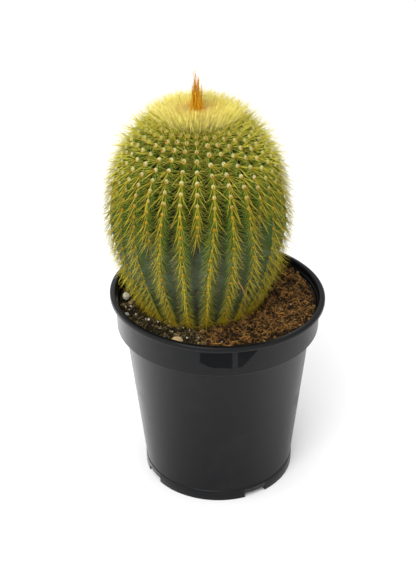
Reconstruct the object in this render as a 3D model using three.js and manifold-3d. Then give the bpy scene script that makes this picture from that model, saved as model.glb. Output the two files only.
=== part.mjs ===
// Round golden cactus in a black plastic nursery pot. Millimetres, +Z up, table at z = 0.
// Inside the group the pot's axis is x = y = 0. The plant leans over the pot's left side,
// so the last lines move the group until the middle of its box is on the Z axis.
import * as THREE from 'three';
import { mergeVertices } from 'three/addons/utils/BufferGeometryUtils.js';
import Module from 'manifold-3d';

// Pot: a 12 cm container with a rolled lip, a raised band under it and a tapered wall.
const LIP_RADIUS = 60;
const POT_HEIGHT = 115.3;
const LIP_DROP = 2.9;
const LIP_WIDTH = 3;
const LIP_OUTER_ROUND = 0.9;
const LIP_INNER_ROUND = 0.5;
const BAND_TOP_RADIUS = 57;
const BAND_LOW_RADIUS = 56.7;
const BAND_LOW_Z = 95.5;
const WALL_TOP_RADIUS = 52.4;
const WALL_LOW_RADIUS = 43.2;
const WALL_THICKNESS = 1.3;
const FOOT_RADIUS = 43.5;
const FOOT_HEIGHT = 6.6;
const FOOT_THICKNESS = 2.2;
const FLOOR_UNDERSIDE = 4;
const FLOOR_THICKNESS = 1.6;
const POT_SEGMENTS = 60;
const FOOT_NOTCH_ANGLES = [28.5, 118.5, 208.5, 298.5];
const FOOT_NOTCH_WIDTH = 13.5;
const FOOT_NOTCH_HEIGHT = 3.2;
const DRAIN_HOLES = 6;
const DRAIN_HOLE_RADIUS = 4;
const DRAIN_CIRCLE_RADIUS = 29;
// The thin rim has sagged a little on the right: each height drops by this share of its x.
const RIM_SAG = 0.039;
const SAG_POWER = 7;

// Compost: fills the pot, its top slopes up towards the back.
const CLEARANCE = 0.3;
const SOIL_Z = 108.9;
const SOIL_RISE_X = -0.004;
const SOIL_RISE_Y = 0.022;
const SOIL_LUMP = 0.53;
const SOIL_RINGS = 4;

// Stem: one ribbed body on a tapered root stock that stands in a plain hole in the compost.
const PLANT_X = -10.2;
const PLANT_Y = 4;
const FOOT_Z = 108.5;
const GIRTH_Z = 157;
const APEX_Z = 219.6;
const FOOT_RIB_RADIUS = 31.8;
const GIRTH_RIB_RADIUS = 47.7;
const LOWER_SWELL = 1.48;
const UPPER_RISE = 2 / 2.11;
const UPPER_ROUND = 2 / 2.38;
const ROOT_RINGS = [[86, 9], [95, 21], [103, 28.5]];
const ROOT_END_Z = 83;
const LOWER_ROWS = 8;
const UPPER_ROWS = 12;

// Ribs: the late ones rise between their neighbours part of the way up.
const RIBS = 31;
const LATE_RIBS = 8;
const FIRST_RIBS = RIBS - LATE_RIBS;
const LATE_START_Z = 150;
const LATE_START_SPREAD = 32;
const LATE_GROWTH = 20;
const SHIFT_FROM_Z = 140;
const SHIFT_TO_Z = 192;
const RIB_DEPTH = 4.8;
const RIB_DEPTH_IN_SOIL = 1.5;
const DEEPENING_HEIGHT = 14;
const FULL_DEPTH_RADIUS = 36;
const RIB_TURN = 0.0165;

// Spines: one three-sided needle stands on each areole, and the areoles run along the ribs.
const AREOLE_STEP = 5.4;
const FIRST_AREOLE_Z = 115;
const FREE_ABOVE_SOIL = 22;
const SHOULDER_WIDTH = 18;
const CROWN_RADIUS = 16;
const CROWN_MARGIN = 1.4;
const NEEDLE_RADIUS = 0.45;
const STEM_SINK = 2.4;
const FELT_SINK = 1.3;
const ROOT_DEPTH = 1.4;
// Each kind has its length, its lean down the rib from the surface's normal, and its side lean.
const NEEDLE_KINDS = [
  { length: 11, down: 56, side: 0 },
  { length: 7.5, down: 66, side: 34 },
  { length: 7.6, down: 34, side: 0 },
  { length: 7.5, down: 66, side: -34 },
];

// Crown: golden bristles round the growing tip, and an orange tuft in their middle.
const CROWN_HOLE_RADIUS = 4.8;
const CROWN_FELT = 2.2;
const CROWN_BRISTLES = 165;
const CROWN_BRISTLE = 8.6;
const TUFT_RADIUS = 3.8;
const TUFT_FELT = 3.2;
const TUFT_BRISTLES = 26;
const TUFT_TIP_Z = 243.4;
const FAN_INNER = 6;
const FAN_OUTER = 32;

// Grit: each stone has its place on the compost, its half sizes and its turn.
const STONES = [
  { name: 'tan_pebble', x: -22, y: -41.5, half: [3.3, 2.6, 1.8], turn: 10 },
  { name: 'perlite_lump', x: -51.4, y: 3, half: [2, 2.6, 2.4], turn: 35 },
  { name: 'buff_chip', x: -48.6, y: -3.4, half: [1.7, 1.5, 1.3], turn: 70 },
  { name: 'brown_chip', x: -38.4, y: -33, half: [1.8, 1.5, 1.2], turn: 20 },
  { name: 'white_chip', x: -50, y: -16.6, half: [1.3, 1.6, 1.3], turn: 50 },
];
const STONE_PROUD = 0.45;

const FULL_TURN = Math.PI * 2;
const wasm = await Module();
wasm.setup();

// A repeatable number from 0 to 1 for each whole-number pair.
function draw(index, salt) {
  const wave = Math.sin(index * 12.9898 + salt * 78.233) * 43758.5453;
  return wave - Math.floor(wave);
}

function clamp01(value) {
  return Math.min(1, Math.max(0, value));
}

function smooth(value) {
  const share = clamp01(value);
  return share * share * (3 - 2 * share);
}

function radians(degrees) {
  return THREE.MathUtils.degToRad(degrees);
}

function solidOf(geometry) {
  const bare = geometry.clone();
  bare.deleteAttribute('normal');
  bare.deleteAttribute('uv');
  const merged = mergeVertices(bare, 1e-4);
  const mesh = new wasm.Mesh({
    numProp: 3,
    vertProperties: new Float32Array(merged.attributes.position.array),
    triVerts: new Uint32Array(merged.index.array),
  });
  return new wasm.Manifold(mesh);
}

function geometryOf(solid) {
  const mesh = solid.getMesh();
  const geometry = new THREE.BufferGeometry();
  geometry.setAttribute('position', new THREE.BufferAttribute(mesh.vertProperties, 3));
  geometry.setIndex(new THREE.BufferAttribute(mesh.triVerts, 1));
  geometry.computeVertexNormals();
  return geometry;
}

// A closed mesh from rings of points, lowest first, with one point under and one over them.
function ringSolid(rings, bottom, top) {
  const count = rings[0].length;
  const points = [bottom, ...rings.flat(), top];
  const last = points.length - 1;
  const faces = [];
  for (let i = 0; i < count; i += 1) {
    const next = (i + 1) % count;
    faces.push(0, 1 + next, 1 + i);
    for (let row = 0; row < rings.length - 1; row += 1) {
      const low = 1 + row * count;
      const high = low + count;
      faces.push(low + i, low + next, high + next);
      faces.push(low + i, high + next, high + i);
    }
    const rim = 1 + (rings.length - 1) * count;
    faces.push(last, rim + i, rim + next);
  }
  const geometry = new THREE.BufferGeometry();
  const flat = points.flatMap((point) => [point.x, point.y, point.z]);
  geometry.setAttribute('position', new THREE.Float32BufferAttribute(flat, 3));
  geometry.setIndex(faces);
  return geometry;
}

// A closed profile of [radius, z] points turned about the Z axis.
function turned(profile, segments) {
  const points = profile.map(([radius, z]) => new THREE.Vector2(radius, z));
  return new THREE.LatheGeometry(points, segments).rotateX(Math.PI / 2);
}


// ---- Pot ----

// The ledge inside the pot, where the wall steps out to the band.
const LEDGE_Z = BAND_LOW_Z + WALL_THICKNESS;

function innerWallRadius(z) {
  const low = WALL_LOW_RADIUS - WALL_THICKNESS;
  const high = WALL_TOP_RADIUS - WALL_THICKNESS;
  if (z < LEDGE_Z) return low + ((high - low) * (z - FOOT_HEIGHT)) / (BAND_LOW_Z - FOOT_HEIGHT);
  const rise = (z - BAND_LOW_Z) / (POT_HEIGHT - LIP_DROP - BAND_LOW_Z);
  return BAND_LOW_RADIUS - WALL_THICKNESS + (BAND_TOP_RADIUS - BAND_LOW_RADIUS) * rise;
}

// A quarter round at the top of the lip: inside its edge radius, or outside where it is negative.
function roundedCorner(edgeRadius, round, fromDegrees, steps) {
  const size = Math.abs(round);
  return Array.from({ length: steps + 1 }, (_, i) => {
    const angle = radians(fromDegrees + (90 * i) / steps);
    return [edgeRadius - round + size * Math.cos(angle), POT_HEIGHT - size + size * Math.sin(angle)];
  });
}

function potProfile() {
  const footInner = FOOT_RADIUS - FOOT_THICKNESS;
  const floorTop = FLOOR_UNDERSIDE + FLOOR_THICKNESS;
  const lipUnder = POT_HEIGHT - LIP_DROP;
  const lipInner = LIP_RADIUS - LIP_WIDTH;
  return [
    [0, FLOOR_UNDERSIDE],
    [footInner, FLOOR_UNDERSIDE],
    [footInner, 0],
    [FOOT_RADIUS - 0.4, 0],
    [FOOT_RADIUS, 0.6],
    [FOOT_RADIUS, FOOT_HEIGHT],
    [WALL_LOW_RADIUS, FOOT_HEIGHT + 0.3],
    [WALL_TOP_RADIUS, BAND_LOW_Z],
    [BAND_LOW_RADIUS, BAND_LOW_Z],
    [BAND_LOW_RADIUS + 0.2, BAND_LOW_Z + 0.8],
    [BAND_TOP_RADIUS, lipUnder - 0.8],
    [BAND_TOP_RADIUS + 0.8, lipUnder],
    [LIP_RADIUS - 0.5, lipUnder],
    [LIP_RADIUS, lipUnder + 0.6],
    ...roundedCorner(LIP_RADIUS, LIP_OUTER_ROUND, 0, 2),
    ...roundedCorner(lipInner, -LIP_INNER_ROUND, 90, 1),
    [innerWallRadius(lipUnder - 1.5), lipUnder - 1.5],
    [innerWallRadius(LEDGE_Z), LEDGE_Z],
    [innerWallRadius(LEDGE_Z - 0.1), LEDGE_Z - 0.1],
    [innerWallRadius(floorTop), floorTop],
    [0, floorTop],
  ];
}

// The sag of the rim is nothing at the foot and grows fast towards the lip.
function saggedZ(x, z) {
  return z - RIM_SAG * x * Math.max(0, z / POT_HEIGHT) ** SAG_POWER;
}

function sagged(geometry) {
  const places = geometry.attributes.position;
  for (let i = 0; i < places.count; i += 1) {
    places.setZ(i, saggedZ(places.getX(i), places.getZ(i)));
  }
  return geometry;
}

function potGeometry() {
  let solid = solidOf(sagged(turned(potProfile(), POT_SEGMENTS)));
  for (const degrees of FOOT_NOTCH_ANGLES) {
    const notch = new THREE.BoxGeometry(FOOT_NOTCH_WIDTH, 3 * FOOT_THICKNESS, 2 * FOOT_NOTCH_HEIGHT);
    notch.translate(0, -FOOT_RADIUS + FOOT_THICKNESS / 2, 0);
    notch.rotateZ(radians(degrees));
    solid = solid.subtract(solidOf(notch));
  }
  for (let i = 0; i < DRAIN_HOLES; i += 1) {
    const hole = new THREE.CylinderGeometry(DRAIN_HOLE_RADIUS, DRAIN_HOLE_RADIUS, 12, 12);
    hole.rotateX(Math.PI / 2);
    hole.translate(0, DRAIN_CIRCLE_RADIUS, FLOOR_UNDERSIDE);
    hole.rotateZ((i * FULL_TURN) / DRAIN_HOLES);
    solid = solid.subtract(solidOf(hole));
  }
  return geometryOf(solid);
}

// ---- Stem ----

// The height and radius of the rib crests: part 0 is at the compost, 1 at the girth, 2 at the tip.
function crestAt(part) {
  if (part < 1) {
    const below = 1 - part;
    const radius = GIRTH_RIB_RADIUS - (GIRTH_RIB_RADIUS - FOOT_RIB_RADIUS) * below ** LOWER_SWELL;
    return { z: GIRTH_Z - (GIRTH_Z - FOOT_Z) * below, radius };
  }
  const angle = ((part - 1) * Math.PI) / 2;
  return {
    z: GIRTH_Z + (APEX_Z - GIRTH_Z) * Math.sin(angle) ** UPPER_RISE,
    radius: GIRTH_RIB_RADIUS * clamp01(Math.cos(angle)) ** UPPER_ROUND,
  };
}

// The height of the crests near the tip, by their distance from the plant's axis.
function topZ(radius) {
  const cosine = (radius / GIRTH_RIB_RADIUS) ** (1 / UPPER_ROUND);
  return GIRTH_Z + (APEX_Z - GIRTH_Z) * Math.sqrt(1 - cosine * cosine) ** UPPER_RISE;
}

function isLate(rib) {
  return Math.floor(((rib + 1) * LATE_RIBS) / RIBS) > Math.floor((rib * LATE_RIBS) / RIBS);
}

// How far a rib has grown at a height: the first ribs are whole all the way.
function ribGrowth(rib, z) {
  if (!isLate(rib)) return 1;
  const start = LATE_START_Z + LATE_START_SPREAD * draw(rib, 1);
  return smooth((z - start) / LATE_GROWTH);
}

// Where each crest lies at the foot and at the crown, in turns: a late rib starts in a groove.
function ribTurns() {
  const high = Array.from({ length: RIBS }, (_, rib) => (rib + 0.5) / RIBS);
  let first = 0;
  const low = high.map((_, rib) => {
    if (isLate(rib)) return first / FIRST_RIBS;
    first += 1;
    return (first - 0.5) / FIRST_RIBS;
  });
  const drift = high.reduce((sum, turn, rib) => sum + turn - low[rib], 0) / RIBS;
  return high.map((turn, rib) => ({ high: turn, low: low[rib] + drift }));
}

const RIB_TURNS = ribTurns();

// The angles of every rib's groove and crest at a height. The grooves close in on a rib as it
// shrinks, so below its start it has no width.
function ribAngles(z) {
  const moved = smooth((z - SHIFT_FROM_Z) / (SHIFT_TO_Z - SHIFT_FROM_Z));
  const crests = RIB_TURNS.map(({ high, low }) => low + (high - low) * moved);
  const shares = crests.map((_, rib) => ribGrowth(rib, z));
  return crests.map((crest, rib) => {
    const before = (rib + RIBS - 1) % RIBS;
    const gap = (crest - crests[before] + 1) % 1;
    const groove = crest - (gap * shares[rib]) / (shares[rib] + shares[before]);
    return {
      groove: (groove + RIB_TURN) * FULL_TURN,
      crest: (crest + RIB_TURN) * FULL_TURN,
      share: shares[rib],
    };
  });
}

function ribDepth(z, radius) {
  const above = clamp01((z - FOOT_Z + 4) / DEEPENING_HEIGHT);
  const full = RIB_DEPTH_IN_SOIL + (RIB_DEPTH - RIB_DEPTH_IN_SOIL) * above;
  return full * Math.min(1, radius / FULL_DEPTH_RADIUS);
}

// Angle 0 is the plant's front, -Y, and angles grow towards +X.
function onPlant(angle, radius, z) {
  return new THREE.Vector3(
    PLANT_X + radius * Math.sin(angle),
    PLANT_Y - radius * Math.cos(angle),
    z,
  );
}

function stemRing(z, radius) {
  const depth = ribDepth(z, radius);
  return ribAngles(z).flatMap(({ groove, crest, share }) => [
    onPlant(groove, radius - depth, z),
    onPlant(crest, radius - depth * (1 - share), z),
  ]);
}

// A late rib has no width below its start, where its points fall together and merge.
function withoutFlatFaces(geometry) {
  const merged = mergeVertices(geometry, 1e-4);
  const index = merged.index.array;
  const kept = [];
  for (let i = 0; i < index.length; i += 3) {
    const [a, b, c] = [index[i], index[i + 1], index[i + 2]];
    if (a !== b && b !== c && c !== a) kept.push(a, b, c);
  }
  merged.setIndex(kept);
  return merged;
}

function stemBody() {
  const rings = ROOT_RINGS.map(([z, radius]) => stemRing(z, radius));
  for (let row = 0; row < LOWER_ROWS; row += 1) {
    const { z, radius } = crestAt(row / LOWER_ROWS);
    rings.push(stemRing(z, radius));
  }
  for (let row = 0; row < UPPER_ROWS; row += 1) {
    const { z, radius } = crestAt(1 + row / UPPER_ROWS);
    rings.push(stemRing(z, radius));
  }
  const body = ringSolid(rings, onPlant(0, 0, ROOT_END_Z), onPlant(0, 0, APEX_Z));
  return solidOf(withoutFlatFaces(body));
}

// ---- Needles ----

// A three-sided needle that stands at a point along a direction, its root sunk behind the point.
function needle(point, direction, length, sink) {
  const geometry = new THREE.ConeGeometry(NEEDLE_RADIUS, length + sink, 3);
  geometry.translate(0, (length - sink) / 2, 0);
  const up = new THREE.Vector3(0, 1, 0);
  geometry.applyQuaternion(new THREE.Quaternion().setFromUnitVectors(up, direction));
  return geometry.translate(point.x, point.y, point.z);
}

function fused(core, needles) {
  return needles.reduce((solid, piece) => solid.add(solidOf(piece)), core);
}

// The areoles of one rib, from the compost up to the crown, evenly spaced along its crest.
function ribAreoles(rib) {
  const areoles = [];
  const parts = 400;
  let travelled = AREOLE_STEP * draw(rib, 2);
  let previous = crestAt(0);
  for (let i = 1; i < parts; i += 1) {
    const here = crestAt((2 * i) / parts);
    const step = Math.hypot(here.z - previous.z, here.radius - previous.radius);
    const share = ribGrowth(rib, here.z);
    travelled += step;
    const clearOfCrown = here.z < GIRTH_Z || here.radius > CROWN_RADIUS + CROWN_MARGIN;
    if (travelled >= AREOLE_STEP && here.z > FIRST_AREOLE_Z && share > 0.6 && clearOfCrown) {
      const slope = Math.atan2(here.z - previous.z, here.radius - previous.radius);
      areoles.push({ ...here, slope, share });
      travelled = 0;
    }
    previous = here;
  }
  return areoles;
}

function stemNeedles() {
  const needles = [];
  for (let rib = 0; rib < RIBS; rib += 1) {
    ribAreoles(rib).forEach(({ z, radius, slope, share }, place) => {
      const { crest } = ribAngles(z)[rib];
      const outward = new THREE.Vector3(Math.sin(crest), -Math.cos(crest), 0);
      const across = new THREE.Vector3(Math.cos(crest), Math.sin(crest), 0);
      const upward = new THREE.Vector3(0, 0, 1);
      const normal = outward.clone().multiplyScalar(Math.sin(slope));
      normal.addScaledVector(upward, -Math.cos(slope));
      const downRib = outward.clone().multiplyScalar(-Math.cos(slope));
      downRib.addScaledVector(upward, -Math.sin(slope));
      const kind = NEEDLE_KINDS[(place + rib) % NEEDLE_KINDS.length];
      const free = clamp01((z - FIRST_AREOLE_Z) / FREE_ABOVE_SOIL);
      const fromCrown = z < GIRTH_Z ? 1 : clamp01((radius - CROWN_RADIUS) / SHOULDER_WIDTH);
      const down = radians(kind.down * (0.35 + 0.65 * Math.min(free, fromCrown)));
      const side = radians(kind.side + 16 * (draw(rib * 40 + place, 3) - 0.5));
      const direction = normal.clone().multiplyScalar(Math.cos(down));
      direction.addScaledVector(downRib, Math.sin(down) * Math.cos(side));
      direction.addScaledVector(across, Math.sin(down) * Math.sin(side));
      const length = kind.length * (0.7 + 0.3 * free) * (0.9 + 0.2 * draw(rib * 40 + place, 4));
      const root = onPlant(crest, radius - ribDepth(z, radius) * (1 - share), z);
      root.addScaledVector(normal, -ROOT_DEPTH);
      needles.push(needle(root, direction.normalize(), length + ROOT_DEPTH, STEM_SINK));
    });
  }
  return needles;
}

// Bristles fan out from the plant's axis, so that no two rings of them cross.
function fanDirection(angle, radius) {
  const lean = radians(FAN_INNER + ((FAN_OUTER - FAN_INNER) * radius) / CROWN_RADIUS);
  const flat = Math.sin(lean);
  return new THREE.Vector3(flat * Math.sin(angle), -flat * Math.cos(angle), Math.cos(lean));
}

const GOLDEN_TURN = Math.PI * (3 - Math.sqrt(5));

// The felt ring lies on the tip's crests, as thick as the wool that the bristles grow from.
function crownGeometry() {
  const steps = 4;
  const under = [];
  const over = [];
  for (let i = 0; i <= steps; i += 1) {
    const radius = CROWN_HOLE_RADIUS + ((CROWN_RADIUS - CROWN_HOLE_RADIUS) * i) / steps;
    under.push([radius, topZ(radius) + CLEARANCE]);
    over.unshift([radius, topZ(radius) + CROWN_FELT]);
  }
  const felt = turned([...under, ...over, under[0]], 31).translate(PLANT_X, PLANT_Y, 0);
  const inner = CROWN_HOLE_RADIUS + 0.9;
  const outer = CROWN_RADIUS - 0.9;
  const needles = [];
  for (let i = 0; i < CROWN_BRISTLES; i += 1) {
    const spread = (i + 0.5) / CROWN_BRISTLES;
    const radius = Math.sqrt(inner * inner + (outer * outer - inner * inner) * spread);
    const angle = i * GOLDEN_TURN;
    const length = CROWN_BRISTLE * (0.82 + 0.36 * draw(i, 5));
    const root = onPlant(angle, radius, topZ(radius) + CROWN_FELT - 0.1);
    needles.push(needle(root, fanDirection(angle, radius), length, FELT_SINK));
  }
  return geometryOf(fused(solidOf(felt), needles));
}

function tuftGeometry() {
  const under = topZ(0) + CLEARANCE;
  const over = topZ(0) + TUFT_FELT;
  const profile = [[0, under], [TUFT_RADIUS, under], [TUFT_RADIUS - 0.6, over - 0.8], [0, over]];
  const felt = turned(profile, 12).translate(PLANT_X, PLANT_Y, 0);
  const reach = TUFT_RADIUS - 1;
  const needles = [];
  for (let i = 0; i < TUFT_BRISTLES; i += 1) {
    const radius = reach * Math.sqrt(i / TUFT_BRISTLES);
    const angle = i * GOLDEN_TURN;
    const inward = 1 - radius / reach;
    const rootZ = over - 0.5;
    const length = (TUFT_TIP_Z - rootZ) * (0.5 + 0.5 * inward ** 1.5) * (1 - 0.12 * draw(i, 6));
    const root = onPlant(angle, radius, rootZ);
    const full = i === 0 ? TUFT_TIP_Z - rootZ : length;
    const direction = i === 0 ? new THREE.Vector3(0, 0, 1) : fanDirection(angle, radius);
    needles.push(needle(root, direction, full, FELT_SINK));
  }
  return geometryOf(fused(solidOf(felt), needles));
}

// ---- Compost and grit ----

function soilTop(x, y) {
  const lumps = Math.sin(x * 0.31 + 1.1) * Math.cos(y * 0.27) + Math.sin((x + y) * 0.53) * 0.5;
  return SOIL_Z + SOIL_RISE_X * x + SOIL_RISE_Y * y + SOIL_LUMP * lumps;
}

function stoneGeometry({ x, y, half, turn }, grow) {
  const stone = new THREE.IcosahedronGeometry(1, 1);
  stone.scale(half[0] + grow, half[1] + grow, half[2] + grow);
  stone.rotateZ(radians(turn));
  return stone.translate(x, y, soilTop(x, y) + half[2] * STONE_PROUD);
}

// The compost's side follows the pot's inner wall, its hole follows the stem's root stock.
function soilGeometry() {
  const floor = FLOOR_UNDERSIDE + FLOOR_THICKNESS + CLEARANCE;
  const side = [
    [floor, innerWallRadius(floor)],
    [LEDGE_Z + CLEARANCE, innerWallRadius(LEDGE_Z - 0.1)],
    [LEDGE_Z + CLEARANCE + 0.2, innerWallRadius(LEDGE_Z)],
  ];
  const hole = ROOT_RINGS.map(([z, radius]) => [z, radius + CLEARANCE + 0.2]);
  const mouth = crestAt(0.08);
  hole.push([FOOT_Z - 2, FOOT_RIB_RADIUS + CLEARANCE + 0.4], [mouth.z, mouth.radius + 1]);
  const rings = side.map(([z, wall]) => {
    const ring = soilRing(0, 0, wall - CLEARANCE, z);
    return ring.map((point) => point.setZ(saggedZ(point.x, z)));
  });
  for (let i = 0; i <= SOIL_RINGS; i += 1) {
    rings.push(soilTopRing(i / SOIL_RINGS, mouth.radius + 1));
  }
  hole.slice(0, -1).reverse().forEach(([z, radius]) => {
    rings.push(soilRing(PLANT_X, PLANT_Y, radius, z));
  });
  const bottom = new THREE.Vector3(0, 0, floor);
  const body = ringSolid(rings, bottom, onPlant(0, 0, ROOT_END_Z - CLEARANCE));
  const sockets = STONES.map((stone) => solidOf(stoneGeometry(stone, CLEARANCE)));
  return geometryOf(sockets.reduce((solid, socket) => solid.subtract(socket), solidOf(body)));
}

function soilRing(x, y, radius, z) {
  return Array.from({ length: POT_SEGMENTS }, (_, i) => {
    const angle = (i / POT_SEGMENTS) * FULL_TURN;
    return new THREE.Vector3(x + radius * Math.sin(angle), y - radius * Math.cos(angle), z);
  });
}

// One ring of the top, from the pot's wall at share 0 to the mouth of the stem's hole at 1.
function soilTopRing(share, mouthRadius) {
  const outer = soilRing(0, 0, innerWallRadius(SOIL_Z) - CLEARANCE - 0.1, 0);
  const inner = soilRing(PLANT_X, PLANT_Y, mouthRadius, 0);
  return outer.map((from, i) => {
    const point = from.clone().lerp(inner[i], share);
    point.z = soilTop(point.x, point.y);
    return point;
  });
}

// ---- Assembly ----

function part(name, geometry, color, roughness) {
  const material = new THREE.MeshStandardMaterial({ color, roughness, metalness: 0 });
  const mesh = new THREE.Mesh(geometry, material);
  mesh.name = name;
  return mesh;
}

const pottedCactus = new THREE.Group();
pottedCactus.add(
  part('pot', potGeometry(), 0x1b1c1e, 0.42),
  part('compost', soilGeometry(), 0x3b2618, 0.95),
  part('cactus_stem', geometryOf(fused(stemBody(), stemNeedles())), 0x5f7a2e, 0.6),
  part('crown_spines', crownGeometry(), 0xe2c23a, 0.55),
  part('crown_tuft', tuftGeometry(), 0xb5641c, 0.6),
);
STONES.forEach((stone, i) => {
  const color = [0xb08a5c, 0xe4e0d6, 0xc2a878, 0x8a6a4a, 0xe8e6e0][i];
  pottedCactus.add(part(stone.name, stoneGeometry(stone, 0), color, 0.85));
});

const box = new THREE.Box3().setFromObject(pottedCactus);
const middle = box.getCenter(new THREE.Vector3());
pottedCactus.position.set(-middle.x, -middle.y, 0);

export default pottedCactus;
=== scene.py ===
import functools
import math
import random

import bmesh
import bpy
from mathutils import Matrix, Vector, noise


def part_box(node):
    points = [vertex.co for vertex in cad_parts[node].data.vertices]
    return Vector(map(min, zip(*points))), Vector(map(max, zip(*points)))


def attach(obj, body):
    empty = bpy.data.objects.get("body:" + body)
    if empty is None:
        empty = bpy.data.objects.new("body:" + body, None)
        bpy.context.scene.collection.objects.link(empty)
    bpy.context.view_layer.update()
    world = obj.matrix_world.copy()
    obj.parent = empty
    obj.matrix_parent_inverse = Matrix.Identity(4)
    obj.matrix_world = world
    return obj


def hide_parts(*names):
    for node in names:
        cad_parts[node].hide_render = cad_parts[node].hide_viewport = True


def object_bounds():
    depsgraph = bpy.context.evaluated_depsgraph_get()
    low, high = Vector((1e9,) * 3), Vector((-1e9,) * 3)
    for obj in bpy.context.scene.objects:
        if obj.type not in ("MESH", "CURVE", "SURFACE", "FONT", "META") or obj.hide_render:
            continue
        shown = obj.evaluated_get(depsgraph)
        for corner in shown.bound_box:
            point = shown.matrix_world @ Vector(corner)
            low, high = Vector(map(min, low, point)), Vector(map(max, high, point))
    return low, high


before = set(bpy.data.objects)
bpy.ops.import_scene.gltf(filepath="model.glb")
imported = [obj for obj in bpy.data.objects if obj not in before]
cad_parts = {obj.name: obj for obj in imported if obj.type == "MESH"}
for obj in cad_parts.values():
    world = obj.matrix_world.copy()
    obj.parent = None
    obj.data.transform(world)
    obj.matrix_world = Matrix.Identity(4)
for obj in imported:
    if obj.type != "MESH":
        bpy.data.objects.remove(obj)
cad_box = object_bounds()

# ---- Nursery pot ----
# A 12 cm container of thin black polypropylene, moulded in one shot: a rolled lip, a straight band
# under it, a tapered wall and a foot ring with four notches. The thin rim has sagged on the right.
# This shape and all the others are drawn in millimetres round the pot's axis.

pot_low, pot_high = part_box("pot")
POT_AXIS_X = (pot_low.x + pot_high.x) / 2
MM = 0.001
TO_FRAME = Matrix.Translation((POT_AXIS_X, 0, 0)) @ Matrix.Scale(MM, 4)

LIP_RADIUS = (pot_high.y - pot_low.y) / 2 / MM
POT_HEIGHT = 115.3
LIP_DROP = 2.9
LIP_WIDTH = 3
BAND_TOP_RADIUS = 57
BAND_LOW_RADIUS = 56.7
BAND_LOW_Z = 95.5
WALL_TOP_RADIUS = 52.4
WALL_LOW_RADIUS = 43.2
WALL_THICKNESS = 1.3
# Inside the pot the wall steps out to the band on a ledge.
LEDGE_Z = BAND_LOW_Z + WALL_THICKNESS
UNDER_LEDGE_Z = LEDGE_Z - 0.01
FOOT_RADIUS = 43.5
FOOT_HEIGHT = 6.6
FOOT_THICKNESS = 2.2
FLOOR_UNDERSIDE = 4
FLOOR_TOP = 5.6
POT_STEPS = 240
RIM_SAG = 0.039
SAG_POWER = 7
NOTCH_ANGLES = (28.5, 118.5, 208.5, 298.5)
NOTCH_WIDTH = 13.5
NOTCH_HEIGHT = 3.2
DRAIN_HOLES = 6
DRAIN_HOLE_RADIUS = 4
DRAIN_CIRCLE_RADIUS = 29
DRAIN_CUT_DEPTH = 12
SHARP_DEGREES = 35
FULL_TURN = 2 * math.pi


def inner_wall_radius(z):
    """The pot's inner wall: it follows the tapered wall up to the ledge, and the band above it."""
    if z < LEDGE_Z:
        rise = (z - FOOT_HEIGHT) / (BAND_LOW_Z - FOOT_HEIGHT)
        return WALL_LOW_RADIUS + (WALL_TOP_RADIUS - WALL_LOW_RADIUS) * rise - WALL_THICKNESS
    rise = (z - BAND_LOW_Z) / (POT_HEIGHT - LIP_DROP - BAND_LOW_Z)
    return BAND_LOW_RADIUS + (BAND_TOP_RADIUS - BAND_LOW_RADIUS) * rise - WALL_THICKNESS


def sagged_z(x, z):
    return z - RIM_SAG * x * max(0, z / POT_HEIGHT) ** SAG_POWER


def joined(bm, points):
    """The points of an outline, joined one after the other."""
    line = [bm.verts.new(point) for point in points]
    for one, other in zip(line, line[1:]):
        bm.edges.new((one, other))
    return line


def spin(bm, steps):
    """Turns an outline once about the Z axis."""
    bmesh.ops.spin(bm, geom=bm.verts[:] + bm.edges[:], cent=(0, 0, 0), axis=(0, 0, 1),
                   angle=FULL_TURN, steps=steps, use_merge=True)


def turned(outline, steps):
    """A bmesh of an outline of (radius, z, rounding) points, turned about the Z axis."""
    bm = bmesh.new()
    line = joined(bm, [(radius, 0, z) for radius, z, _ in outline])
    for vert, (_, _, rounding) in zip(line, outline):
        if rounding:
            bmesh.ops.bevel(bm, geom=[vert], offset=rounding, segments=3, profile=0.5,
                            affect="VERTICES", material=-1)
    spin(bm, steps)
    bmesh.ops.remove_doubles(bm, verts=bm.verts[:], dist=0.001)
    bmesh.ops.recalc_face_normals(bm, faces=bm.faces[:])
    return bm


def mesh_of(name, bm):
    """The mesh of a finished bmesh."""
    mesh = bpy.data.meshes.new(name)
    bm.to_mesh(mesh)
    bm.free()
    return mesh


def placed(name, data):
    """A new object in the scene."""
    made = bpy.data.objects.new(name, data)
    bpy.context.scene.collection.objects.link(made)
    return made


def finished(name, bm, material, sharp_degrees=180):
    """Makes a piece of a bmesh drawn in millimetres round the pot's axis. It rides on the part."""
    bm.transform(TO_FRAME)
    for face in bm.faces:
        face.smooth = True
    mesh = mesh_of(name, bm)
    mesh.set_sharp_from_angle(angle=math.radians(sharp_degrees))
    mesh.materials.append(material)
    piece = placed(name, mesh)
    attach(piece, "root")
    return piece


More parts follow.
